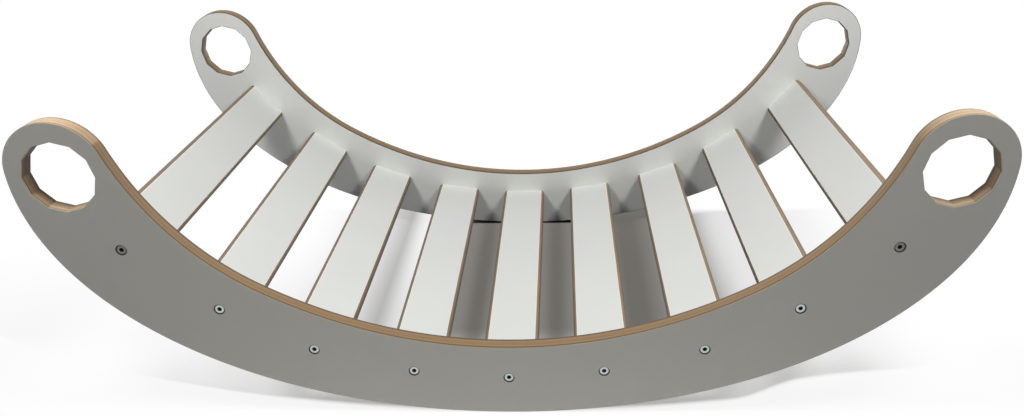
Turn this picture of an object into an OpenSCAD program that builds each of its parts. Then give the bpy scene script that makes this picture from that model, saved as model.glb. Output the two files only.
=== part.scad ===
// A child's wooden rocker arch, standing on its back as a rocker.
// Two crescent side panels of faced plywood carry nine flat slats between them. Each slat end
// butts against a panel and is held by one screw through the panel and two hidden dowels.
//
// Millimetres. +X runs along the arch, +Y across it, from the front panel to the rear one, and
// +Z up. The origin is on the floor, under the middle of the arch.

/* [Side panels] */
// Length of a panel over its end knobs
length = 1000; // [900:10:1100]
// Height of the knobs' centres above the floor
knob_h = 293; // [280:1:310]
// Radius of the round end knobs
knob_r = 52; // [48:1:58]
// Thickness of the plywood that the panels are cut from
panel_t = 18; // [16:1:24]
// Height of the rim above the floor at the middle of the arch
rim_h = 85; // [75:1:95]
// Radius of the rim's middle arc
rim_r = 533; // [500:1:570]
// Angle from the middle to each end of the rim's middle arc
rim_angle = 30; // [27:1:33]

/* [Hand holes] */
// Number of flats round a hand hole
hole_sides = 12; // [6, 8, 10, 12]
// Width of a hand hole across its corners
hole_d = 75; // [60:1:80]
// Distance from a knob's centre down to its hand hole's centre
hole_drop = 6; // [0:1:10]
// Distance from a knob's centre to its hand hole's centre, towards the middle
hole_inset = 2; // [0:1:6]

/* [Slats] */
// Width of a slat
slat_w = 63; // [56:1:70]
// Thickness of a slat
slat_t = 18; // [15:1:22]
// Length of a slat between the panels
slat_len = 490; // [400:10:560]
// Radius of the round along a slat's four long edges
slat_round = 5; // [2:0.5:7]
// Distances along the rim from each slat to the next, from the middle one outwards
slat_steps = [98, 103.5, 100, 100.5]; // [90:0.5:104]
// Depth of the middle slat's top below the rim
slat_recess = 29.5; // [26:0.5:34]
// How much deeper the other slats lie, from the middle outwards
slat_deeper = [1, 4, 3, 14]; // [0:0.5:15]
// Degrees by which they lie flatter than the rim beside them
slat_flatter = [2, 2, 0, 3.5]; // [-3:0.5:5]

/* [Screws] */
// Diameter of a screw's smooth shank and of its thread
screw_d = 7; // [6:0.5:7]
// Diameter of the wood that the thread bites, and of the threaded part's core
core_d = 5; // [4:0.5:5.5]
// Length of a screw
screw_len = 50; // [40:1:70]
// Diameter of a screw's head
head_d = 10; // [9:0.5:12]
// Height of the cylindrical rim of the head
head_rim = 1; // [0.5:0.1:2]
// Depth of the head's top below the panel's face
head_sink = 1; // [0.2:0.1:2]
// Width across the flats of the hexagon socket
socket_af = 4; // [3:0.5:5]
// Depth of the hexagon socket
socket_depth = 3; // [2:0.5:4]

/* [Dowels] */
// Diameter of a dowel
dowel_d = 8; // [6:1:10]
// Length of a dowel
dowel_len = 30; // [25:1:40]
// Distance between the two dowels in a slat's end
dowel_spacing = 34; // [30:1:38]
// Depth that a dowel goes into a panel
dowel_in_panel = 10; // [8:1:12]

/* [Clearances] */
// Gap all round the head in its countersink
head_gap = 0.6; // [0.2:0.1:1]
// Gap all round a screw's shank and core
screw_gap = 0.1; // [0.05:0.05:0.3]
// Gap all round a dowel, for glue
dowel_gap = 0.05; // [0.05:0.05:0.2]
// Room left for glue and chips past the end of a dowel or a screw, in the slat
end_gap = 2; // [1:0.5:4]

/* [Hidden] */
outer_flats = 73;    // flats along the outside curve, an odd number, so that one lies on the floor
rim_flats = 60;      // flats along the rim, from knob to knob
knob_flats = 30;     // flats round a knob
$fn = 48;

// Slat 0 is the middle one, and the others count up towards +X and down towards -X
side_slats = len(slat_steps);
slat_count = 2 * side_slats + 1;
slat_ks = [-side_slats : side_slats];
slat_names = [for (i = [1 : slat_count]) str("slat_", i)];
dowel_names = [for (i = [1 : slat_count]) str("dowels_", i)];
front_names = [for (i = [1 : slat_count]) str("screw_front_", i)];
rear_names = [for (i = [1 : slat_count]) str("screw_rear_", i)];

// ---- The panel's outline, in (X, Z) ----

// A unit vector at an angle from straight down, positive towards +X
function down(a) = [sin(a), -cos(a)];

// The rim is a middle arc, and two flank arcs that run on from it and into the knobs. Each
// flank arc has the one radius at which it touches its knob's circle.
knob_c = [length / 2 - knob_r, knob_h];
rim_c = [0, rim_h + rim_r];
rim_join = rim_c + rim_r * down(rim_angle);
join_to_knob = rim_join - knob_c;
flank_r = (join_to_knob * join_to_knob - knob_r * knob_r)
        / (2 * (join_to_knob * down(rim_angle) + knob_r));
flank_c = rim_join - flank_r * down(rim_angle);
rim_end = atan2(knob_c.x - flank_c.x, flank_c.y - knob_c.y);

// The point at a depth below the rim, where the rim's normal is at an angle from straight down
function below_rim(a, depth) =
    abs(a) <= rim_angle ? rim_c + (rim_r + depth) * down(a)
    : [sign(a) * flank_c.x, flank_c.y] + (flank_r + depth) * down(a);

// That angle at a distance along the rim from the middle
middle_arc = rim_r * rim_angle * PI / 180;
function rim_angle_at(s) =
    abs(s) <= middle_arc ? s / rim_r * 180 / PI
    : sign(s) * (rim_angle + (abs(s) - middle_arc) / flank_r * 180 / PI);

// The outside is half an ellipse, as long as the panel and as deep as the knobs' centres are
// high. Its flats stand just outside the true curve, so that the lowest one lies on the floor.
ellipse_depth = knob_h / cos(90 / outer_flats);
outside = [for (i = [0 : outer_flats]) let (t = 180 * i / outer_flats - 90)
    [length / 2 * sin(t), knob_h - ellipse_depth * cos(t)]];
rim = [for (i = [0 : rim_flats]) below_rim(rim_end * (1 - 2 * i / rim_flats), 0)];

// A knob runs from the widest point of the ellipse, over the top and down to the rim
knob = [for (i = [1 : knob_flats - 1]) let (t = (90 + rim_end) * i / knob_flats)
    knob_c + knob_r * [cos(t), sin(t)]];
far_knob = [for (i = [len(knob) - 1 : -1 : 0]) [-knob[i].x, knob[i].y]];

module panel_outline() {
    difference() {
        polygon(concat(outside, knob, rim, far_knob));
        for (side = [-1, 1])
            translate([side * (knob_c.x - hole_inset), knob_c.y - hole_drop])
                rotate(90) circle(d = hole_d, $fn = hole_sides);
    }
}

// ---- Where each slat lies, and its fasteners ----

// The distance along the rim from the middle slat to the nth one on a side
function along(n) = n == 0 ? 0 : along(n - 1) + slat_steps[n - 1];

// The centre of slat k, with X across its width and Z towards the hollow
module at_slat(k) {
    n = abs(k);
    angle = rim_angle_at(sign(k) * along(n));
    deeper = n == 0 ? 0 : slat_deeper[n - 1];
    flatter = n == 0 ? 0 : slat_flatter[n - 1];
    place = below_rim(angle, slat_recess + deeper + slat_t / 2);
    translate([place.x, 0, place.y]) rotate([0, sign(k) * flatter - angle, 0]) children();
}

// The two ends of a slat: +Z points out of the arch, from the panel's inner face
module at_ends(sides = [-1, 1]) {
    for (side = sides)
        translate([0, side * slat_len / 2, 0]) rotate([-90 * side, 0, 0]) children();
}

module at_dowels() {
    for (side = [-1, 1])
        translate([side * dowel_spacing / 2, 0, 0]) children();
}

// The screw's head narrows at 45 degrees, and the panel's countersink has the same cone
head_cone = (head_d - screw_d) / 2;
shank_len = panel_t - head_sink - head_rim - head_cone;
core_len = screw_len - head_rim - head_cone - shank_len;
point_len = core_d / 2;

// Everything that the screw and dowels need cut away, about an end of a slat
module screw_hole() {
    top = panel_t - head_sink;
    wide = head_d / 2 + head_gap;
    slim = screw_d / 2 + screw_gap;
    rotate_extrude() polygon([
        [0, -1], [slim, -1], [slim, top - head_rim - head_cone + screw_gap],
        [wide, top - head_rim + head_gap], [wide, panel_t + 1], [0, panel_t + 1]
    ]);
}

module pilot_hole() {
    depth = core_len + end_gap;
    translate([0, 0, -depth]) cylinder(d = core_d + 2 * screw_gap, h = depth + 1);
}

module dowel_hole() {
    in_slat = dowel_len - dowel_in_panel + end_gap;
    translate([0, 0, -in_slat])
        cylinder(d = dowel_d + 2 * dowel_gap, h = in_slat + dowel_in_panel);
}

// ---- The sub-parts ----

module side_panel(side) {
    inner = side * slat_len / 2;
    color("#85837e") difference() {
        translate([0, max(inner, inner + side * panel_t), 0])
            rotate([90, 0, 0]) linear_extrude(panel_t) panel_outline();
        for (k = slat_ks) at_slat(k) at_ends([side]) {
            screw_hole();
            at_dowels() dowel_hole();
        }
    }
}

// A slat's section: two crossed bars, with a round in each corner
module slat_section() {
    flat_w = slat_w - 2 * slat_round;
    flat_t = slat_t - 2 * slat_round;
    square([slat_w, flat_t], center = true);
    square([flat_w, slat_t], center = true);
    for (x = [-1, 1], z = [-1, 1])
        translate([x * flat_w / 2, z * flat_t / 2]) circle(slat_round);
}

module slat(k) {
    color("#d3d5d0") at_slat(k) difference() {
        rotate([90, 0, 0]) linear_extrude(slat_len, center = true) slat_section();
        at_ends() {
            pilot_hole();
            at_dowels() dowel_hole();
        }
    }
}

// A countersunk connecting screw with a hexagon socket, its head a little below the face
module screw(k, side) {
    top = panel_t - head_sink;
    tip = top - screw_len;
    color("#c9ccd0") at_slat(k) at_ends([side]) difference() {
        rotate_extrude() polygon([
            [0, tip], [core_d / 2, tip + point_len], [core_d / 2, 0], [screw_d / 2, 0],
            [screw_d / 2, shank_len], [head_d / 2, top - head_rim], [head_d / 2, top], [0, top]
        ]);
        translate([0, 0, top - socket_depth])
            cylinder(d = socket_af / cos(30), h = socket_depth + 1, $fn = 6);
    }
}

// The four dowels of one slat, two in each end, seated at the bottom of the panels' holes
module dowels(k) {
    chamfer = dowel_d / 8;
    in_slat = dowel_len - dowel_in_panel;
    color("#d9b98a") at_slat(k) at_ends() at_dowels()
        rotate_extrude() polygon([
            [0, -in_slat], [dowel_d / 2 - chamfer, -in_slat],
            [dowel_d / 2, -in_slat + chamfer], [dowel_d / 2, dowel_in_panel - chamfer],
            [dowel_d / 2 - chamfer, dowel_in_panel], [0, dowel_in_panel]
        ]);
}

side_panel(-1);  // side_panel_front
side_panel(1);  // side_panel_rear
for (k = slat_ks) {
    i = k + side_slats;
    slat(k);
    screw(k, -1);
    screw(k, 1);
    dowels(k);
}
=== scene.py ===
"""A child's wooden rocker arch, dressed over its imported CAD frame. Metres, +Z up.

Two crescent side panels of faced plywood carry nine flat slats. Every slat end butts against a
panel, on two dowels and one screw. The sections follow the order in which the arch is put
together: panels, slats, dowels, screws, and then the studio round it.
"""
from math import atan2, cos, pi, radians, sin

import bmesh
import bpy
import numpy as np
from mathutils import Matrix, Vector
from mathutils.geometry import delaunay_2d_cdt


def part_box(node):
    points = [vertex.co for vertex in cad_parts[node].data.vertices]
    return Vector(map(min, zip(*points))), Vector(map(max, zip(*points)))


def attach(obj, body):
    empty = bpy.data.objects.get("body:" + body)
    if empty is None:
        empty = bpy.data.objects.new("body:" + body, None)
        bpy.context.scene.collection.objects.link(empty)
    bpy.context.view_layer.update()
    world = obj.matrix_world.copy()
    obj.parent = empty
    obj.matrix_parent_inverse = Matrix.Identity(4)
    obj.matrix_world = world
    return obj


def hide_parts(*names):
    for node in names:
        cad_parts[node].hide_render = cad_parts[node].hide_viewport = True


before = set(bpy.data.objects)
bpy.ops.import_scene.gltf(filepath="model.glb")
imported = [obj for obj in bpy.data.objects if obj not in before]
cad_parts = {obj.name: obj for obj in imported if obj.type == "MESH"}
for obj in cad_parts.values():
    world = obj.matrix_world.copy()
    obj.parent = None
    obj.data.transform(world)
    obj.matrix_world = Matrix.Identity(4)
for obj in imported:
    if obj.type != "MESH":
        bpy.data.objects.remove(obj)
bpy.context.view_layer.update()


# ---- The outline of a side panel ----
# Both crescents are cut from one template. The outside is half an ellipse, on which the arch
# rocks. It runs into a round knob at each end, and the knobs run into the hollow rim.

panel_low, panel_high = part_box("side_panel_front")
panel_t = panel_high.y - panel_low.y
half_length = panel_high.x
knob_r = 0.052
knob_centre = np.array([half_length - knob_r, panel_high.z - knob_r])
rim_h = 0.085
rim_r = 0.533
rim_angle = radians(30)         # where the rim's middle arc gives way to a flank arc
outside_steps = 240             # points along the outside, round a knob and along the rim
knob_steps = 64
rim_steps = 220


def down(angle):
    """Unit vectors at angles from straight down, positive towards +X: (sin a, -cos a)."""
    return np.stack([np.sin(angle), -np.cos(angle)], -1)


# A flank arc touches both the middle arc's end and the knob's circle: with j the way from the
# knob's centre to that end and d its downward normal, radius = (j.j - r^2) / (2 (j.d + r)).
rim_centre = np.array([0, rim_h + rim_r])
rim_join = rim_centre + rim_r * down(rim_angle)
to_join = rim_join - knob_centre
flank_r = (to_join @ to_join - knob_r**2) / (2 * (to_join @ down(rim_angle) + knob_r))
flank_centre = rim_join - flank_r * down(rim_angle)
rim_end = atan2(knob_centre[0] - flank_centre[0], flank_centre[1] - knob_centre[1])


def rim(angle):
    """The hollow rim where its normal leans by an angle: centre + radius * down(angle), about
    the middle arc's centre or, past rim_angle, about the flank arc's on that side."""
    in_middle = (np.abs(angle) <= rim_angle)[:, None]
    flank = flank_centre * np.stack([np.sign(angle), np.ones_like(angle)], -1)
    return np.where(in_middle, rim_centre + rim_r * down(angle), flank + flank_r * down(angle))


def panel_outline():
    """The closed outline as (x, z) points, anticlockwise from the left knob's widest point:
    ellipse (A sin t, H - H cos t), knob c + r (cos a, sin a), rim, and the knob mirrored."""
    t = np.linspace(-pi / 2, pi / 2, outside_steps + 1)[:-1]
    height = knob_centre[1]
    outside = np.stack([half_length * np.sin(t), height - height * np.cos(t)], -1)
    a = np.linspace(0, pi / 2 + rim_end, knob_steps + 1)[:-1]
    knob = knob_centre + knob_r * np.stack([np.cos(a), np.sin(a)], -1)
    hollow = rim(np.linspace(rim_end, -rim_end, rim_steps + 1))
    other_knob = (knob[1:] * [-1, 1])[::-1]
    return np.concatenate([outside, knob, hollow, other_knob])


def facing_out(loop):
    """Unit normals of a closed loop, to the right of its travel: (dz, -dx) over the length,
    with (dx, dz) from the point before to the point after."""
    way = np.roll(loop, -1, 0) - np.roll(loop, 1, 0)
    return np.stack([way[:, 1], -way[:, 0]], -1) / np.linalg.norm(way, axis=1)[:, None]


# ---- Hand holes, screw holes and dowel holes ----
# A twelve-sided hand hole is routed through each knob. Each slat end needs a countersunk screw
# hole right through the panel, and two blind dowel holes in its inner face.

hole_sides = 12
hole_r = 0.0375                 # to the corners
hole_corner_r = 0.0015          # the router leaves the corners slightly round
hole_centre = knob_centre - [0.002, 0.006]
screw_hole_r = 0.0036
sink_r = 0.0059                 # the countersink, and the straight recess above it
sink_bottom = panel_t - 0.0034
sink_top = panel_t - 0.0014
broken_edge = 0.0002            # a fine chamfer, where a drill or a lathe leaves an edge
dowel_r = 0.004
dowel_hole_r = 0.00405
dowel_in_panel = 0.010
dowel_offset = 0.017            # from a slat's screw to each of the two dowels beside it


def slat_place(number):
    """A slat's centre (x, z) and its tilt: the centre is its screw's, and the tilt is the slope
    of the line through its dowels, whose box is that line plus one dowel's width."""
    low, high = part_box(f"screw_front_{number}")
    centre = np.array([low.x + high.x, low.z + high.z]) / 2
    low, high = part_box(f"dowels_{number}")
    rise = max(high.z - low.z - 2 * dowel_r, 0)
    return centre, np.sign(centre[0]) * atan2(rise, high.x - low.x - 2 * dowel_r)


def dowel_places(number):
    """The centres (x, z) of the two dowels beside a slat's screw, the left one first."""
    centre, tilt = slat_place(number)
    along = dowel_offset * np.array([cos(tilt), sin(tilt)])
    return centre - along, centre + along


def hand_hole(side):
    """A regular polygon's corners, each an arc of radius rc: centre + (R - rc / cos(pi / n)) u
    + rc v, where v turns by half a side's angle either way of the corner's direction u."""
    corner = pi / 2 + np.arange(hole_sides) * 2 * pi / hole_sides
    turn = corner[:, None] + np.linspace(-1, 1, 5) * pi / hole_sides
    along = np.stack([np.cos(corner), np.sin(corner)], -1)[:, None]
    round_it = np.stack([np.cos(turn), np.sin(turn)], -1)
    pull = hole_r - hole_corner_r / cos(pi / hole_sides)
    loop = hole_centre * [side, 1] + pull * along + hole_corner_r * round_it
    return loop.reshape(-1, 2)[::-1], -round_it.reshape(-1, 2)[::-1]


def drilled(centre, count=40):
    """A drilled hole as a point, turned clockwise: every loop point is the centre, and the
    normals -(cos a, sin a) face the axis, so that a step out by -r gives a circle of r."""
    a = -np.arange(count) * 2 * pi / count
    return np.tile(centre, (count, 1)), -np.stack([np.cos(a), np.sin(a)], -1)


screw_hole_profile = np.array([
    (-sink_r - broken_edge, panel_t), (-sink_r, panel_t - broken_edge), (-sink_r, sink_top),
    (-screw_hole_r, sink_bottom), (-screw_hole_r, 0)
])
dowel_hole_profile = np.array([
    (-dowel_hole_r, 0), (-dowel_hole_r, dowel_in_panel), (0, dowel_in_panel)
])


# ---- Walls, faces and the making of a mesh ----
# A saw or a router carries one profile round a closed line. A face is the flat laminate that
# is left between the lines.

sharp_turn = radians(32)        # an edge that turns more than this stays sharp


def wall(loop, out, profile, rubbed=0.0, lengthwise=1.0, scorched=0.0, material=0):
    """A profile carried round a closed loop: point(u, v) = loop(u) + out(u) profile_out(v), at
    height profile_up(v). Its UV is the way round the loop, and the height."""
    count = len(loop)
    steps = len(profile)
    profile = profile.reshape(steps, -1, 2)
    flat = loop + out * profile[..., :1]
    height = np.broadcast_to(profile[..., 1], (steps, count))
    points = np.concatenate([flat, height[..., None]], -1).reshape(-1, 3)
    step, u = np.mgrid[0:steps - 1, 0:count]
    step, u = step.ravel(), u.ravel()
    after = (u + 1) % count
    faces = np.stack([step * count + u, step * count + after,
                      (step + 1) * count + after, (step + 1) * count + u], -1)
    way = np.append(0, np.cumsum(np.linalg.norm(np.roll(loop, -1, 0) - loop, axis=1)))
    uv = np.stack([np.stack([way[u], way[u + 1], way[u + 1], way[u]], -1),
                   height.ravel()[faces]], -1)
    tones = [np.broadcast_to(tone, count)[faces % count]
             for tone in (rubbed, lengthwise, scorched)]
    return dict(points=points, faces=faces, uv=uv, tones=tones, smooth=True,
                material=np.broadcast_to(material, count)[u])


def face(loops, height, material):
    """The flat face at a height inside the first loop and outside the others, in triangles
    whose corners are the loops' own points, worked out in millimetres. Its UV is (x, z)."""
    points = np.concatenate(loops)
    ends = np.cumsum([len(loop) for loop in loops])
    edges = [list(range(end - len(loop), end)) for loop, end in zip(loops, ends)]
    found = delaunay_2d_cdt([Vector(p) for p in points * 1000], [], edges, 2, 1e-5)
    flat = points[[came_from[0] for came_from in found[3]]]
    faces = np.array([corners[:] for corners in found[2]])
    return dict(points=np.column_stack([flat, np.full(len(flat), height)]), faces=faces,
                uv=flat[faces], tones=[np.full(faces.shape, tone) for tone in (0.0, 1.0, 0.0)],
                smooth=False, material=np.full(len(faces), material))


def make_piece(name, patches, materials):
    """Joins patches into one closed mesh: equal points are merged, and the faces are turned
    outward. Corner attributes hold what the finishes need."""
    first = np.cumsum([0] + [len(patch["points"]) for patch in patches])
    points = np.concatenate([patch["points"] for patch in patches])
    faces = [corners for patch, start in zip(patches, first)
             for corners in (patch["faces"] + start).tolist()]
    mesh = bpy.data.meshes.new(name)
    mesh.from_pydata(points.tolist(), [], faces)
    uv = mesh.uv_layers.new(name="Board")
    uv.data.foreach_set("uv", np.concatenate([patch["uv"].ravel() for patch in patches]))
    for index, tone in enumerate(("rubbed", "lengthwise", "scorched")):
        values = np.concatenate([patch["tones"][index].ravel() for patch in patches])
        mesh.attributes.new(tone, "FLOAT", "CORNER").data.foreach_set("value", values)
    smooth = np.concatenate([np.broadcast_to(p["smooth"], len(p["faces"])) for p in patches])
    mesh.polygons.foreach_set("use_smooth", smooth)
    slots = np.concatenate([patch["material"] for patch in patches])
    mesh.polygons.foreach_set("material_index", slots.astype(np.int32))
    edit = bmesh.new()
    edit.from_mesh(mesh)
    bmesh.ops.remove_doubles(edit, verts=edit.verts, dist=2e-6)
    bmesh.ops.dissolve_degenerate(edit, edges=edit.edges, dist=1e-7)
    bmesh.ops.recalc_face_normals(edit, faces=edit.faces)
    edit.to_mesh(mesh)
    edit.free()
    smooth = np.empty(len(mesh.polygons), bool)
    mesh.polygons.foreach_get("use_smooth", smooth)
    mesh.set_sharp_from_angle(angle=sharp_turn)
    mesh.polygons.foreach_set("use_smooth", smooth)
    for material in materials:
        mesh.materials.append(material)
    piece = bpy.data.objects.new(name, mesh)
    bpy.context.scene.collection.objects.link(piece)
    return piece


# ---- The finish of a sawn plywood edge ----
# Nine veneers, laid crosswise by turns, between two thin laminates. Where a veneer's grain runs
# along the edge it shows warm streaks, and where the grain meets the edge, darker end grain.

veneers = 9.0
waver_depth = 0.0011            # how far a glue line wanders to and fro
streaks_along = 22.0            # grains per metre, along the streaks and across them
streaks_across = 1900.0
pores_per_metre = 1300.0
# Painted light: the three pale colours below stand for an edge where it is lit.
lit_long_grain = (0.62, 0.455, 0.295, 1)
lit_cut_grain = (0.56, 0.400, 0.252, 1)
lit_skin = (0.30, 0.225, 0.15, 1)
glue_brown = (0.16, 0.095, 0.055, 1)
# The colour of painted shade, near black.
shade_black = (0.035, 0.024, 0.016, 1)
# The colour of the painted shade near both faces of an edge.
face_shade_brown = (0.125, 0.105, 0.072, 1)
pale_arris_width = 0.0008             # the widest that the paler line on an arris gets


def new_material(name, roughness):
    """A material with one Principled shader, and its tree, shader and texture coordinates."""
    material = bpy.data.materials.new(name)
    material.use_nodes = True
    tree = material.node_tree
    shader = tree.nodes["Principled BSDF"]
    shader.inputs["Roughness"].default_value = roughness
    return material, tree, shader, tree.nodes.new("ShaderNodeTexCoord")


def wire(tree, kind, inputs, **settings):
    """Adds a node with its settings, and fills its inputs with values or links."""
    made = tree.nodes.new("ShaderNode" + kind)
    for setting, value in settings.items():
        setattr(made, setting, value)
    for socket, value in inputs.items():
        if isinstance(value, bpy.types.NodeSocket):
            tree.links.new(value, made.inputs[socket])
        else:
            made.inputs[socket].default_value = value
    return made


def calc(tree, operation, *values):
    """The result of a Math node on these values."""
    return wire(tree, "Math", dict(enumerate(values)), operation=operation).outputs[0]


def fade(tree, value, start, end):
    """From 0 at start to 1 at end, along a smooth step."""
    return wire(tree, "MapRange", {"Value": value, "From Min": start, "From Max": end},
                interpolation_type="SMOOTHSTEP").outputs[0]


def blend(tree, share, low, high, how="MIX"):
    """The colour between low and high, by share."""
    mixed = wire(tree, "Mix", {0: share, 6: low, 7: high}, data_type="RGBA", blend_type=how)
    return mixed.outputs[2]


def new_group(name, inputs, outputs):
    """A shader node group with named sockets, and its tree, inputs and output node."""
    tree = bpy.data.node_groups.new(name, "ShaderNodeTree")
    for way, sockets in (("INPUT", inputs), ("OUTPUT", outputs)):
        for socket, kind in sockets.items():
            tree.interface.new_socket(socket, in_out=way, socket_type="NodeSocket" + kind)
    return tree, tree.nodes.new("NodeGroupInput").outputs, tree.nodes.new("NodeGroupOutput")


def give(tree, group_output, **results):
    """Joins results to a group's named outputs, in which _ stands for a space."""
    for name, result in results.items():
        tree.links.new(result, group_output.inputs[name.replace("_", " ")])


def plywood_layers():
    """Depth, wavered by slow noise, is cut into veneers. Tone is each veneer's own lightness
    and streaks, End grain says where its grain meets the edge, and Line the glue between two."""
    tree, given, result = new_group(
        "Plywood layers",
        {"Along and depth": "Vector", "Veneers": "Float", "Thickness": "Float",
         "Lengthwise": "Float"},
        {"Tone": "Float", "End grain": "Float", "Line": "Float", "Height": "Float"})
    split = wire(tree, "SeparateXYZ", {0: given["Along and depth"]}).outputs
    waver = wire(tree, "TexNoise", {"Vector": given["Along and depth"], "Scale": 14.0,
                                    "Detail": 2.0}).outputs[0]
    depth = calc(tree, "MULTIPLY_ADD", calc(tree, "SUBTRACT", waver, 0.5), waver_depth, split[1])
    layer = calc(tree, "DIVIDE", calc(tree, "MULTIPLY", depth, given["Veneers"]),
                 given["Thickness"])
    number = calc(tree, "FLOOR", layer)
    across = calc(tree, "SUBTRACT", layer, number)
    odd = calc(tree, "FLOORED_MODULO", number, 2.0)
    crossed = calc(tree, "SUBTRACT", 1.0, given["Lengthwise"])
    end_grain = wire(tree, "Mix", {0: odd, 2: crossed, 3: given["Lengthwise"]}).outputs[0]
    off_middle = calc(tree, "ABSOLUTE", calc(tree, "SUBTRACT", across, 0.5))
    line = wire(tree, "MapRange", {"Value": off_middle, "From Min": 0.42, "From Max": 0.5}
                ).outputs[0]
    own_tone = wire(tree, "TexWhiteNoise", {"W": number}, noise_dimensions="1D").outputs[0]
    long_way = wire(tree, "CombineXYZ", {0: calc(tree, "MULTIPLY", split[0], streaks_along),
                                         1: calc(tree, "MULTIPLY", depth, streaks_across),
                                         2: number}).outputs[0]
    streaks = wire(tree, "TexNoise", {"Vector": long_way, "Scale": 1.0, "Detail": 3.0}).outputs[0]
    pore_way = wire(tree, "CombineXYZ", {0: calc(tree, "MULTIPLY", split[0], pores_per_metre),
                                         1: calc(tree, "MULTIPLY", depth, pores_per_metre),
                                         2: number}).outputs[0]
    pores = wire(tree, "TexNoise", {"Vector": pore_way, "Scale": 1.0, "Detail": 2.0}).outputs[0]
    texture = wire(tree, "Mix", {0: end_grain, 2: streaks, 3: pores}).outputs[0]
    own = calc(tree, "MULTIPLY_ADD", own_tone, 0.18, 0.81)
    tone = calc(tree, "ADD", own, calc(tree, "MULTIPLY_ADD", texture, 0.8, -0.4))
    height = calc(tree, "SUBTRACT", texture, line)
    give(tree, result, Tone=tone, End_grain=end_grain, Line=line, Height=height)
    return tree


layers_group = plywood_layers()


def plywood_edge(name, long_grain, cut_grain, skin, skin_t, arris_line, face_shade_strength):
    """The bare edge of the board: veneers of two colours by turns, made paler by painted light
    where the piece says so, darkened by painted shade, most towards the inner face, where the
    piece says so, and darkened by painted shade near both faces. It ends in the cut edges of the
    laminates, skin_t thick, the outer one with a paler arris."""
    material, tree, shader, _ = new_material(name, 0.62)
    shader.inputs["Specular IOR Level"].default_value = 0.25
    board = wire(tree, "UVMap", {}, uv_map="Board").outputs[0]
    rubbed = wire(tree, "Attribute", {}, attribute_name="rubbed").outputs["Fac"]
    lengthwise = wire(tree, "Attribute", {}, attribute_name="lengthwise").outputs["Fac"]
    scorched = wire(tree, "Attribute", {}, attribute_name="scorched").outputs["Fac"]
    layers = wire(tree, "Group", {"Along and depth": board, "Veneers": veneers,
                                  "Thickness": panel_t, "Lengthwise": lengthwise},
                  node_tree=layers_group)
    tone, end_grain, line, height = layers.outputs
    bare = blend(tree, end_grain, long_grain, cut_grain)
    wood = blend(tree, rubbed, bare, blend(tree, end_grain, lit_long_grain, lit_cut_grain))
    own_shade = wire(tree, "CombineColor", {0: tone, 1: tone, 2: tone}).outputs[0]
    wood = blend(tree, 1.0, wood, own_shade, "MULTIPLY")
    wood = blend(tree, calc(tree, "MULTIPLY", line, 0.35), wood, glue_brown)

    # Painted shade is strong near the inner face. Past about 0.7 it also darkens all of the edge.
    depth = wire(tree, "SeparateXYZ", {0: board}).outputs[1]
    near_inside = calc(tree, "MULTIPLY_ADD", fade(tree, depth, 0.002, 0.009), -0.88, 1.0)
    all_over = calc(tree, "MULTIPLY_ADD", scorched, 3.2, -2.3)
    shade_amount = calc(tree, "MAXIMUM", calc(tree, "MULTIPLY", near_inside, scorched), all_over)
    wood = blend(tree, shade_amount, wood, shade_black)
    # Painted shade darkens the edge near both faces, less where painted light makes it paler.
    from_middle = calc(tree, "ABSOLUTE", calc(tree, "SUBTRACT", depth, panel_t / 2))
    face_shade_share = calc(tree, "MULTIPLY", fade(tree, from_middle, 0.0035, 0.0075), face_shade_strength)
    face_shade_share = calc(tree, "MULTIPLY", face_shade_share, calc(tree, "SUBTRACT", 1.0, rubbed))
    wood = blend(tree, face_shade_share, wood, face_shade_brown)
    # Painted light also makes the laminates' cut edges paler.
    in_skin = calc(tree, "GREATER_THAN", from_middle, panel_t / 2 - skin_t)
    faced = blend(tree, in_skin, wood, blend(tree, rubbed, skin, lit_skin))
    on_arris = calc(tree, "GREATER_THAN", depth, panel_t - min(skin_t, pale_arris_width))
    faced = blend(tree, on_arris, faced, arris_line)
    tree.links.new(faced, shader.inputs["Base Color"])
    tree.links.new(calc(tree, "MULTIPLY_ADD", tone, -0.15, 0.75), shader.inputs["Roughness"])
    bump = wire(tree, "Bump", {"Height": height, "Strength": 0.25, "Distance": 0.0002})
    tree.links.new(bump.outputs[0], shader.inputs["Normal"])
    return material


# ---- The finish of the laminate ----
# A hard, matt plastic sheet pressed on both faces of the board, with a very fine orange-peel
# texture. It keeps a faint cloudiness where it has been handled.

laminate_roughness = 0.42
cloud_size = 0.11
peel_per_metre = 1400.0


def handling():
    """A faint cloudiness, as hands and wiping leave: slow noise and fine noise, both about 0."""
    tree, given, result = new_group("Handling", {"Vector": "Vector", "Size": "Float"},
                                    {"Clouds": "Float", "Specks": "Float"})
    slow = wire(tree, "TexNoise", {"Vector": given["Vector"], "Detail": 4.0,
                                   "Scale": calc(tree, "DIVIDE", 1.0, given["Size"])}).outputs[0]
    fine = wire(tree, "TexNoise", {"Vector": given["Vector"], "Detail": 2.0,
                                   "Scale": calc(tree, "DIVIDE", 90.0, given["Size"])}).outputs[0]
    give(tree, result, Clouds=calc(tree, "SUBTRACT", slow, 0.5),
         Specks=calc(tree, "SUBTRACT", fine, 0.5))
    return tree


handling_group = handling()


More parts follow.
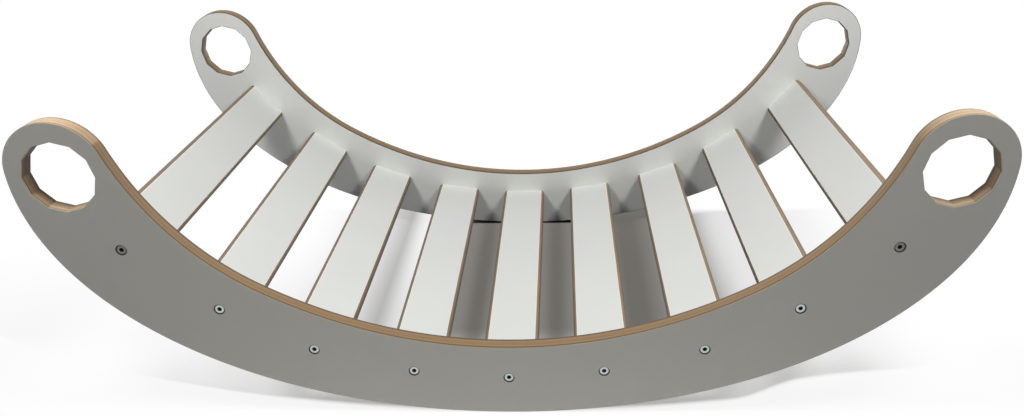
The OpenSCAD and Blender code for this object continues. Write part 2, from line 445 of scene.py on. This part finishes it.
def laminate(name, colour):
    """One even colour with faint clouds, and a fine bump."""
    material, tree, shader, place = new_material(name, laminate_roughness)
    marks = wire(tree, "Group", {"Vector": place.outputs["Object"], "Size": cloud_size},
                 node_tree=handling_group)
    clouds, specks = marks.outputs
    tone = calc(tree, "ADD", calc(tree, "MULTIPLY_ADD", clouds, 0.09, 1.0),
                calc(tree, "MULTIPLY", specks, 0.05))
    shade = wire(tree, "CombineColor", {0: tone, 1: tone, 2: tone}).outputs[0]
    tree.links.new(blend(tree, 1.0, colour, shade, "MULTIPLY"), shader.inputs["Base Color"])
    tree.links.new(calc(tree, "MULTIPLY_ADD", clouds, 0.16, laminate_roughness),
                   shader.inputs["Roughness"])
    peel = wire(tree, "TexNoise", {"Vector": place.outputs["Object"], "Scale": peel_per_metre,
                                   "Detail": 1.0}).outputs[0]
    bump = wire(tree, "Bump", {"Height": peel, "Strength": 0.12, "Distance": 0.00008})
    tree.links.new(bump.outputs[0], shader.inputs["Normal"])
    return material


grey_laminate = laminate("Grey laminate", (0.388, 0.383, 0.356, 1))
white_laminate = laminate("White laminate", (0.735, 0.745, 0.715, 1))


# ---- Building the side panels ----
# Each panel is one board, whose arrises are lightly sanded and a little uneven. Painted light
# makes the upward-facing tops of the front knobs and the bottoms of the hand holes paler, painted
# shade darkens the edge near both faces, and painted shade darkens the walls of the hand holes
# towards the inner face.

inner_y = -panel_high.y         # from the middle of the arch to a panel's inner face
slat_count = 9
arris_r = 0.0008
light_from_slope = 0.36                # the upward slope of the edge, from which a knob's edge carries painted light
flank_light = 0.65                # the least painted light on the left knob's inner flank, above the line where it ends
panel_edge = plywood_edge("Panel edge", long_grain=(0.346, 0.222, 0.112, 1),
                          cut_grain=(0.288, 0.188, 0.098, 1), skin=(0.115, 0.085, 0.052, 1),
                          skin_t=0.0026, arris_line=(0.37, 0.32, 0.24, 1), face_shade_strength=0.5)


def shaded_hole_wall():
    """The wall of a drilled screw hole, painted very dark brown: painted shade for the narrow
    shadowed gap round a screw's head.
    """
    material, tree, shader, place = new_material("Drilled wood", 0.5)
    marks = wire(tree, "Group", {"Vector": place.outputs["Object"], "Size": 0.02},
                 node_tree=handling_group)
    share = calc(tree, "ADD", marks.outputs["Specks"], 0.5)
    colour = blend(tree, share, (0.030, 0.024, 0.018, 1), (0.085, 0.066, 0.048, 1))
    tree.links.new(colour, shader.inputs["Base Color"])
    return material


shaded_drilled_wood = shaded_hole_wall()


def arris(loop, offset):
    """A quarter-round profile on both arrises, from the outer face down to the inner one. Its
    radius wanders along the loop by a quarter, in a sum of two slow waves."""
    u = np.linspace(0, 2 * pi, len(loop), endpoint=False)
    radius = arris_r * (1 + 0.15 * np.sin(7 * u + offset) + 0.10 * np.sin(17 * u + 2 * offset))
    turn = np.linspace(0, pi / 2, 5)[:, None]
    top = np.stack([radius * (np.sin(turn) - 1), panel_t + radius * (np.cos(turn) - 1)], -1)
    bottom = np.stack([top[::-1, :, 0], panel_t - top[::-1, :, 1]], -1)
    return np.concatenate([top, bottom])


def stand(points, side):
    """(x, z, height above a panel's inner face) to a place in the arch. side is -1 in front
    and 1 behind."""
    return np.column_stack([points[:, 0], side * (inner_y + points[:, 2]), points[:, 1]])


def side_panel(name, node, side, knob_light, hole_light, light_ends_at):
    """One panel, in front or behind. The knob and hole arguments say how strongly painted light
    makes the knobs' upward-facing edge and the hand holes' bottom walls paler. The last argument
    is the angle up the left knob's inner flank, at which the painted light on its edge ends in a
    line."""
    finishes = [panel_edge, grey_laminate, white_laminate, shaded_drilled_wood]
    patches = []
    outer = []
    inner = []

    def cut(line, out, profile, **finish):
        """Adds the wall along one closed line, and keeps where it ends in the outer face, at
        height panel_t, or in the inner face, at height 0."""
        patches.append(wall(line, out, profile, **finish))
        for end in profile[[0, -1]].reshape(2, -1, 2):
            if end[0, 1] == panel_t:
                outer.append(line + out * end[:, :1])
            elif end[0, 1] == 0:
                inner.append(line + out * end[:, :1])

    loop = panel_outline()
    out = facing_out(loop)
    from_knob = np.abs(loop) - knob_centre
    on_knob = (np.linalg.norm(from_knob, axis=1) < knob_r * 1.001) & (from_knob[:, 1] > 0)
    # Painted light: a knob's edge grows paler the more it faces up, as under a lamp above, and on
    # the left knob's inner flank it stays pale down to a line.
    upward = np.clip((out[:, 1] - light_from_slope) / (1 - light_from_slope), 0, 1) ** 1.15
    rubbed = np.where(on_knob, upward, 0) * knob_light
    flank_angle = np.arctan2(loop[:, 1] - knob_centre[1], loop[:, 0] + knob_centre[0])
    inner_flank = (loop[:, 0] < 0) & on_knob & (flank_angle < pi / 2)
    flank_lit = np.where(flank_angle > light_ends_at, np.maximum(rubbed, flank_light * knob_light), 0)
    rubbed = np.where(inner_flank, flank_lit, rubbed)
    cut(loop, out, arris(loop, side), rubbed=rubbed, lengthwise=out[:, 1] ** 2)
    # The hand holes' walls carry painted light on the bottom walls, which face up, and painted
    # shade, strongest towards the inner face and on the walls that face down.
    for hand in (-1, 1):
        hole, hole_out = hand_hole(hand)
        cut(hole, hole_out, arris(hole, 2 * side + hand), lengthwise=hole_out[:, 1] ** 2,
            rubbed=np.clip(2 * hole_out[:, 1] - 1, 0, 1) * hole_light,
            scorched=np.minimum(0.80 - 0.35 * hole_out[:, 1], 1))
    for number in range(1, slat_count + 1):
        centre, _ = slat_place(number)
        # A screw hole's walls take the painted shade.
        cut(*drilled(centre), screw_hole_profile, lengthwise=0.0,
            material=finishes.index(shaded_drilled_wood))
        for spot in dowel_places(number):
            cut(*drilled(spot), dowel_hole_profile)
    patches.append(face(outer, panel_t, finishes.index(grey_laminate)))
    patches.append(face(inner, 0, finishes.index(white_laminate)))
    for patch in patches:
        patch["points"] = stand(patch["points"], side)
    panel = make_piece(name, patches, finishes)
    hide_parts(node)
    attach(panel, "root")


side_panel("front_crescent", "side_panel_front", side=-1, knob_light=1.0, hole_light=0.8,
           light_ends_at=radians(31.5))
side_panel("rear_crescent", "side_panel_rear", side=1, knob_light=0.12, hole_light=0.3,
           light_ends_at=0.0)


# ---- The nine slats ----
# Strips of the same board, white on both faces, with bare ply along both sides. Their long
# arrises are rounded so that they are kind to bare feet, and each end has three drilled holes.

slat_w = 0.063
slat_t = 0.018
slat_round = 0.005
end_chamfer = 0.00012
pilot_r = 0.0026
pilot_depth = 0.0353
dowel_in_slat = 0.020
dowel_hole_depth = dowel_in_slat + 0.002
cream = (0.88, 0.82, 0.71, 1)   # the hairline of white laminate over the wood
slat_edge = plywood_edge("Slat edge", long_grain=(0.235, 0.185, 0.135, 1),
                         cut_grain=(0.197, 0.155, 0.113, 1), skin=cream, skin_t=0.00012,
                         arris_line=cream, face_shade_strength=0.0)


def slat_section():
    """A slat's closed section and its normals, anticlockwise: a quarter round in each corner,
    corner centre + r (cos a, sin a)."""
    quarter = np.linspace(0, pi / 2, 10)
    turn = (np.arange(4)[:, None] * pi / 2 + quarter).ravel()
    round_it = np.stack([np.cos(turn), np.sin(turn)], -1)
    corner = np.repeat([(1, 1), (-1, 1), (-1, -1), (1, -1)], len(quarter), 0)
    reach = np.array([slat_w, slat_t]) / 2 - slat_round
    return corner * reach + slat_round * round_it, round_it


def slat(number):
    """One slat, drilled at both ends and laid at its place and tilt. The further right it lies,
    the more painted light makes its right side paler, and the more painted shade makes its left
    side darker."""
    node = f"slat_{number}"
    centre, tilt = slat_place(number)
    low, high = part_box(node)
    half = (high.y - low.y) / 2
    section, out = slat_section()
    rows = np.linspace(-half + end_chamfer, half - end_chamfer, 15)
    profile = np.array([(-end_chamfer, -half)] + [(0, y) for y in rows] + [(-end_chamfer, half)])
    middle_out = (out + np.roll(out, -1, 0)) / 2
    on_face = np.abs(middle_out[:, 1]) > 0.999
    # Painted light on the right side and painted shade on the left side, both growing towards the
    # arch's right end.
    rubbed = 0.22 * np.clip((centre[0] + 0.25) / 0.3, 0, 1)
    scorched = 0.88 * np.clip((centre[0] - 0.05) / 0.25, 0, 1)
    body = wall(section, out, profile, rubbed=np.where(out[:, 0] > 0, rubbed, 0),
                scorched=np.where(out[:, 0] < 0, scorched, 0),
                material=on_face.astype(int))
    body["smooth"] = body["material"] == 0
    corners = body["points"][body["faces"]]
    depth = np.where(body["smooth"][:, None], corners[..., 1] + slat_t / 2, corners[..., 0])
    body["uv"] = np.stack([corners[..., 2], depth], -1)
    patches = [body]
    for end in (-1, 1):
        loops = [section - end_chamfer * out]
        holes = [(0, pilot_r, pilot_depth)] + [
            (way * dowel_offset, dowel_hole_r, dowel_hole_depth) for way in (-1, 1)]
        for across, radius, deep in holes:
            axis, facing = drilled(np.array([across, 0]), 32)
            point = deep + radius / 2
            drill = np.array([(-radius, end * half), (-radius, end * (half - deep)),
                              (0, end * (half - point))])
            patches.append(wall(axis, facing, drill, lengthwise=0.0))
            loops.append(axis - facing * radius)
        closing = face(loops, end * half, 0)
        closing["uv"] = closing["uv"] + [0, slat_t / 2]
        closing["tones"][1][:] = 0
        patches.append(closing)
    for patch in patches:
        across, up, along = patch["points"].T
        patch["points"] = np.column_stack([centre[0] + across * cos(tilt) - up * sin(tilt), along,
                                           centre[1] + across * sin(tilt) + up * cos(tilt)])
    piece = make_piece(f"cross_slat_{number}", patches, [slat_edge, white_laminate])
    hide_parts(node)
    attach(piece, "root")


for number in range(1, slat_count + 1):
    slat(number)


# ---- The dowels ----
# Two fluted beech pegs are glued into each slat end and into the panel beside it, out of sight.
# The flutes let trapped glue escape, and chamfered ends help the pegs start.

dowel_flutes = 12
flute_depth = 0.0003
dowel_chamfer = 0.001
unrolled_r = 0.004              # a turned piece's UV map is unrolled from a bar of this radius


def beech():
    """Pale pinkish brown, with short dark flecks along the peg."""
    material, tree, shader, _ = new_material("Beech", 0.55)
    board = wire(tree, "UVMap", {}, uv_map="Board").outputs[0]
    fine = wire(tree, "Mapping", {"Vector": board, "Scale": (3000, 260, 1)}).outputs[0]
    fleck = wire(tree, "TexNoise", {"Vector": fine, "Scale": 1.0, "Detail": 2.0}).outputs[0]
    dark = wire(tree, "MapRange", {"Value": fleck, "From Min": 0.52, "From Max": 0.72}).outputs[0]
    colour = blend(tree, dark, (0.60, 0.42, 0.25, 1), (0.33, 0.19, 0.10, 1))
    tree.links.new(colour, shader.inputs["Base Color"])
    tree.links.new(calc(tree, "MULTIPLY_ADD", dark, 0.15, 0.5), shader.inputs["Roughness"])
    return material


beech_material = beech()


def revolved(centre, turn, outline, factor, swell=0.0):
    """A solid turned about centre: point(a, v) = centre + (r(v) f(a, v) + s(a, v)) (cos, sin)
    (a + turn), at height h(v), with (r, h) from outline, f from factor and s from swell."""
    count = factor.shape[1]
    a = np.arange(count) * 2 * pi / count
    away = np.stack([np.cos(a + turn), np.sin(a + turn)], -1)
    radius = outline[:, :1] * factor + swell
    profile = np.stack([radius, np.broadcast_to(outline[:, 1:], radius.shape)], -1)
    made = wall(np.tile(centre, (count, 1)), away, profile)
    length = np.append(0, np.cumsum(np.linalg.norm(np.diff(outline, axis=0), axis=1)))
    u = np.broadcast_to(a * unrolled_r, radius.shape).ravel()[made["faces"]]
    v = np.broadcast_to(length[:, None], radius.shape).ravel()[made["faces"]]
    made["uv"] = np.stack([u, v], -1)
    return made


def dowel_pegs(number):
    """The four pegs of one slat, each a chamfered bar whose radius falls by flute_depth, as
    (1 - cos(flutes a)) / 2, in each flute."""
    narrow = dowel_r - dowel_chamfer
    outline = np.array([(0, -dowel_in_slat), (narrow, -dowel_in_slat),
                        (dowel_r, dowel_chamfer - dowel_in_slat), (dowel_r, 0),
                        (dowel_r, dowel_in_panel - dowel_chamfer), (narrow, dowel_in_panel),
                        (0, dowel_in_panel)])
    a = np.arange(4 * dowel_flutes) * 2 * pi / (4 * dowel_flutes)
    flutes = 1 - flute_depth / dowel_r * (0.5 - 0.5 * np.cos(dowel_flutes * a))
    factor = np.tile(flutes, (len(outline), 1))
    patches = []
    for side in (-1, 1):
        for way, spot in zip((-1, 1), dowel_places(number)):
            peg = revolved(spot, number + way, outline, factor)
            peg["points"] = stand(peg["points"], side)
            patches.append(peg)
    piece = make_piece(f"dowel_pegs_{number}", patches, [beech_material])
    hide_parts(f"dowels_{number}")
    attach(piece, "root")


for number in range(1, slat_count + 1):
    dowel_pegs(number)


# ---- The screws ----
# Countersunk connecting screws with a hexagon socket, zinc plated. Each goes through a panel
# and bites the end of a slat with a coarse thread. The head lies 1 mm below the face.

screw_len = 0.050
screw_r = 0.0035
core_r = 0.0025
head_r = 0.005
head_top = panel_t - 0.001
head_rim = 0.001
socket_r = 0.002 / cos(pi / 6)
socket_depth = 0.003
socket_chamfer = 0.0003
socket_flare = 1.16             # how much wider the chamfer makes the top of the socket
tip_r = core_r * 0.45
tip_length = 0.0008
thread_pitch = 0.003
thread_start = -0.0006          # below the panel's inner face
thread_steps = 8                # rings of points for each turn of the thread
half_ridge = 0.3                # half the width of the thread's ridge, in turns
screw_sides = 36


def zinc_steel():
    """Plated steel with fine marks of turning round the head. The four screws that are next to
    the knobs are painted darker: a painted darker reflection."""
    material, tree, shader, place = new_material("Zinc plated steel", 0.33)
    shader.inputs["Metallic"].default_value = 1.0
    board = wire(tree, "UVMap", {}, uv_map="Board").outputs[0]
    rings = wire(tree, "Mapping", {"Vector": board, "Scale": (120, 9000, 1)}).outputs[0]
    turned = wire(tree, "TexNoise", {"Vector": rings, "Scale": 1.0, "Detail": 2.0}).outputs[0]
    marks = wire(tree, "Group", {"Vector": place.outputs["Object"], "Size": 0.01},
                 node_tree=handling_group)
    bright = blend(tree, turned, (0.42, 0.47, 0.455, 1), (0.58, 0.64, 0.62, 1))
    # A painted darker reflection, for the four screws next to the knobs.
    darker_reflection = blend(tree, turned, (0.07, 0.07, 0.06, 1), (0.28, 0.28, 0.25, 1))
    x = wire(tree, "SeparateXYZ", {0: place.outputs["Object"]}).outputs[0]
    darker_reflection_share = wire(tree, "MapRange", {"Value": calc(tree, "ABSOLUTE", x), "From Min": 0.32,
                                   "From Max": 0.35}).outputs[0]
    tree.links.new(blend(tree, darker_reflection_share, bright, darker_reflection), shader.inputs["Base Color"])
    tree.links.new(calc(tree, "MULTIPLY_ADD", marks.outputs["Clouds"], 0.3, 0.36),
                   shader.inputs["Roughness"])
    bump = wire(tree, "Bump", {"Height": turned, "Strength": 0.2, "Distance": 0.00003})
    tree.links.new(bump.outputs[0], shader.inputs["Normal"])
    return material


def socket_shadow():
    """The socket's bottom and sides, painted near black: a painted shadow."""
    material, tree, shader, place = new_material("Socket shadow", 0.6)
    marks = wire(tree, "Group", {"Vector": place.outputs["Object"], "Size": 0.004},
                 node_tree=handling_group)
    colour = blend(tree, marks.outputs["Clouds"], (0.012, 0.013, 0.013, 1), (0.05, 0.05, 0.05, 1))
    tree.links.new(colour, shader.inputs["Base Color"])
    return material


steel = zinc_steel()
socket_shade_material = socket_shadow()


def screw(name, node, side, number):
    """One screw from the bottom of its socket, over the head and down to the tip. The socket's
    radius is R cos(pi/6) / cos(a mod pi/3 - pi/6), and the thread's ridge, a triangle of the
    phase h / pitch + a / (2 pi), stands screw_r - core_r above the core."""
    centre, _ = slat_place(number)
    tip = head_top - screw_len
    cone_end = head_top - head_rim - (head_r - screw_r)
    head = np.array([(0, head_top - socket_depth), (socket_r, head_top - socket_depth),
                     (socket_r, head_top - socket_chamfer), (socket_r * socket_flare, head_top),
                     (head_r - broken_edge, head_top), (head_r, head_top - broken_edge),
                     (head_r, head_top - head_rim), (screw_r, cone_end), (screw_r, 0.0)])
    rings = np.arange(thread_start, tip + core_r + 0.0003, -thread_pitch / thread_steps)
    shank = np.column_stack([np.full(len(rings), core_r), rings])
    point = np.array([(core_r, tip + core_r), (tip_r, tip + tip_length), (0, tip)])
    outline = np.concatenate([head, shank, point])
    a = np.arange(screw_sides) * 2 * pi / screw_sides
    hexagon = cos(pi / 6) / np.cos(a % (pi / 3) - pi / 6)
    factor = np.ones((len(outline), screw_sides))
    factor[:4] = hexagon
    phase = (outline[:, 1:] / thread_pitch + side * a / (2 * pi)) % 1
    ridge = np.clip(1 - np.abs(phase - 0.5) / half_ridge, 0, 1) * (screw_r - core_r)
    runs_out = np.clip((outline[:, 1:] - tip - core_r) / thread_pitch, 0, 1)
    in_thread = np.zeros((len(outline), 1))
    in_thread[len(head):len(head) + len(shank)] = 1
    body = revolved(centre, radians(47 * number), outline, factor, ridge * runs_out * in_thread)
    # The socket's bottom, sides and chamfer take the painted shadow.
    body["material"] = np.repeat(np.arange(len(outline) - 1) < 3, screw_sides).astype(int)
    body["points"] = stand(body["points"], side)
    piece = make_piece(name, [body], [steel, socket_shade_material])
    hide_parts(node)
    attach(piece, "root")


for number in range(1, slat_count + 1):
    screw(f"front_screw_{number}", f"screw_front_{number}", -1, number)
    screw(f"rear_screw_{number}", f"screw_rear_{number}", 1, number)


# ---- The studio ----
# A white floor and a faint even surround. Two round soft lamps hang above and in front of the
# arch, one to each side, and a long one lies low behind, for the rear panel's back.

floor_half = 12.0
foot_y = 0.248                  # the middle of the painted shadow line at the rear panel's foot
white = (1, 1, 1, 1)
black = (0.004, 0.004, 0.004, 1)
warm_shade = (0.172, 0.163, 0.145, 1)


def seen_directly(tree):
    """1 for the camera, and for what mirrors or lets through what the camera sees; else 0."""
    path = tree.nodes.new("ShaderNodeLightPath").outputs
    mirrored = calc(tree, "MAXIMUM", path["Is Glossy Ray"], path["Is Transmission Ray"])
    return calc(tree, "MAXIMUM", path["Is Camera Ray"], mirrored)


def add_glow(tree, surface, share, colour):
    """The surface mixed by share with a plain glow of this colour."""
    glow = wire(tree, "Emission", {"Color": colour}).outputs[0]
    return wire(tree, "MixShader", {0: share, 1: surface, 2: glow}).outputs[0]


def studio_floor():
    """A white sheet, whose shade is fitted where it is seen directly. The shade is evened out
    under the middle slats and black at the rear panel's foot. It is lightened in the outer
    gaps and under the front panel, and fades to white in front, behind and far off."""
    corners = [(-floor_half, -floor_half, 0), (floor_half, -floor_half, 0),
               (floor_half, floor_half, 0), (-floor_half, floor_half, 0)]
    mesh = bpy.data.meshes.new("studio_floor")
    mesh.from_pydata(corners, [], [(0, 1, 2, 3)])
    floor = bpy.data.objects.new("studio_floor", mesh)
    bpy.context.scene.collection.objects.link(floor)
    material, tree, shader, place = new_material("White floor", 0.9)
    shader.inputs["Specular IOR Level"].default_value = 0.0
    seen = seen_directly(tree)
    x, y, _ = wire(tree, "SeparateXYZ", {0: place.outputs["Object"]}).outputs
    forward = calc(tree, "MULTIPLY", y, -1.0)
    leftward = calc(tree, "MULTIPLY", x, -1.0)
    sideways = calc(tree, "ABSOLUTE", x)

    # The light that the sheet throws back up, less at both ends and little in front
    bounce = blend(tree, fade(tree, sideways, 0.15, 0.60), (1.0, 1.0, 0.98, 1),
                   (0.60, 0.60, 0.59, 1))
    bounce = blend(tree, fade(tree, forward, 0.250, 0.265), (0.15, 0.15, 0.15, 1), bounce)
    tree.links.new(blend(tree, seen, bounce, (1.0, 1.0, 0.995, 1)), shader.inputs["Base Color"])

    # Outside the middle slats, and in the gap between the third and the fourth
    outside = calc(tree, "MAXIMUM", fade(tree, leftward, 0.06, 0.365),
                   fade(tree, x, 0.235, 0.328))
    in_gap = calc(tree, "MULTIPLY", fade(tree, leftward, 0.10, 0.14),
                  fade(tree, leftward, 0.212, 0.158))
    outside = calc(tree, "MAXIMUM", outside, calc(tree, "MULTIPLY", in_gap, 0.86))
    near = fade(tree, forward, 0.08, 0.18)

    # The even painted shade under the middle slats, and the painted black shadow line at the rear
    # panel's foot
    covered = calc(tree, "SUBTRACT", 1.0, calc(tree, "MAXIMUM", outside, near))
    from_foot = calc(tree, "ABSOLUTE", calc(tree, "SUBTRACT", y, foot_y))
    open_foot = calc(tree, "MAXIMUM", fade(tree, from_foot, 0.005, 0.009),
                     fade(tree, sideways, 0.09, 0.12))
    contact = calc(tree, "SUBTRACT", 1.0, open_foot)
    evened = calc(tree, "MULTIPLY", covered, calc(tree, "MAXIMUM", contact, 0.8))
    surface = add_glow(tree, shader.outputs[0], calc(tree, "MULTIPLY", evened, seen),
                       blend(tree, contact, warm_shade, black))

    # How much of the shade turns white in the gaps, and under the front panel
    paler = calc(tree, "MULTIPLY_ADD", fade(tree, y, -0.15, 0.20), 0.2, 0.8)
    paler = calc(tree, "MAXIMUM", paler, fade(tree, x, 0.245, 0.315))
    under_front = calc(tree, "MULTIPLY_ADD", fade(tree, sideways, 0.22, 0.30), 0.30, 0.38)
    under_front = calc(tree, "MULTIPLY_ADD", fade(tree, sideways, 0.34, 0.50), 0.22, under_front)
    share = wire(tree, "Mix", {0: near, 2: calc(tree, "MULTIPLY", outside, paler),
                               3: under_front}).outputs[0]
    right_foot = calc(tree, "MULTIPLY", fade(tree, x, 0.25, 0.34), fade(tree, x, 0.56, 0.36))
    share = calc(tree, "MULTIPLY_ADD", right_foot, -0.34, share)

    # White in front, from a line that bends back towards both ends, then behind and far off
    bent = calc(tree, "MULTIPLY_ADD", calc(tree, "MULTIPLY", x, x), 0.35, forward)
    bent = calc(tree, "MULTIPLY_ADD", right_foot, 0.022, bent)
    in_front = calc(tree, "MULTIPLY", fade(tree, bent, 0.248, 0.265), 0.9)
    distance = wire(tree, "VectorMath", {0: place.outputs["Object"]}, operation="LENGTH")
    behind = calc(tree, "MULTIPLY", fade(tree, y, 0.250, 0.300), fade(tree, sideways, 0.22, 0.27))
    far = calc(tree, "MAXIMUM", fade(tree, distance.outputs["Value"], 0.5, 1.5),
               calc(tree, "MAXIMUM", fade(tree, y, 0.30, 0.42), behind))
    share = calc(tree, "MAXIMUM", calc(tree, "MAXIMUM", share, in_front), far)
    surface = add_glow(tree, surface, calc(tree, "MULTIPLY", share, seen), white)
    tree.links.new(surface, tree.nodes["Material Output"].inputs["Surface"])
    mesh.materials.append(material)


studio_floor()

surround = bpy.data.worlds.new("surround")
bpy.context.scene.world = surround
surround.use_nodes = True
sky = surround.node_tree
sky_strength = wire(sky, "Mix", {0: seen_directly(sky), 2: 0.14, 3: 1.0}).outputs[0]
sky.links.new(sky_strength, sky.nodes["Background"].inputs["Strength"])
sky.nodes["Background"].inputs["Color"].default_value = white


def soft_lamp(name, place, width, height, power):
    """An oval lamp that faces the foot of the arch, and that the camera doesn't see."""
    lamp = bpy.data.lights.new(name, "AREA")
    lamp.shape = "ELLIPSE"
    lamp.size = width
    lamp.size_y = height
    lamp.energy = power
    hung = bpy.data.objects.new(name, lamp)
    hung.location = place
    hung.rotation_euler = Vector(place).to_track_quat("Z", "Y").to_euler()
    hung.visible_camera = False
    bpy.context.scene.collection.objects.link(hung)


soft_lamp("left_lamp", (-0.60, -0.42, 1.05), width=0.30, height=0.30, power=7.2)
soft_lamp("right_lamp", (0.70, -0.42, 1.10), width=0.30, height=0.30, power=8.0)
soft_lamp("rear_lamp", (0.0, 1.60, 0.06), width=1.40, height=0.08, power=8.0)


# ---- The camera ----
# It stands in front of the arch and a little to the right, about 1.2 m from its middle, and
# looks down on it.

camera_place = (0.0568, -1.0823, 0.6160)
camera_turn = radians(2.330)
camera_dip = radians(26.28)
camera_roll = radians(-1.261)

lens = bpy.data.cameras.new("camera")
lens.sensor_fit = "HORIZONTAL"
lens.sensor_width = 36.0
lens.lens = 31.477
lens.shift_x = -0.01494
lens.shift_y = 0.03512
camera = bpy.data.objects.new("camera", lens)
turn = (Matrix.Rotation(camera_turn, 3, "Z") @ Matrix.Rotation(pi / 2 - camera_dip, 3, "X")
        @ Matrix.Rotation(camera_roll, 3, "Z"))
camera.rotation_euler = turn.to_euler()
camera.location = camera_place
bpy.context.scene.collection.objects.link(camera)
bpy.context.scene.camera = camera
bpy.context.scene.view_settings.view_transform = "Standard"
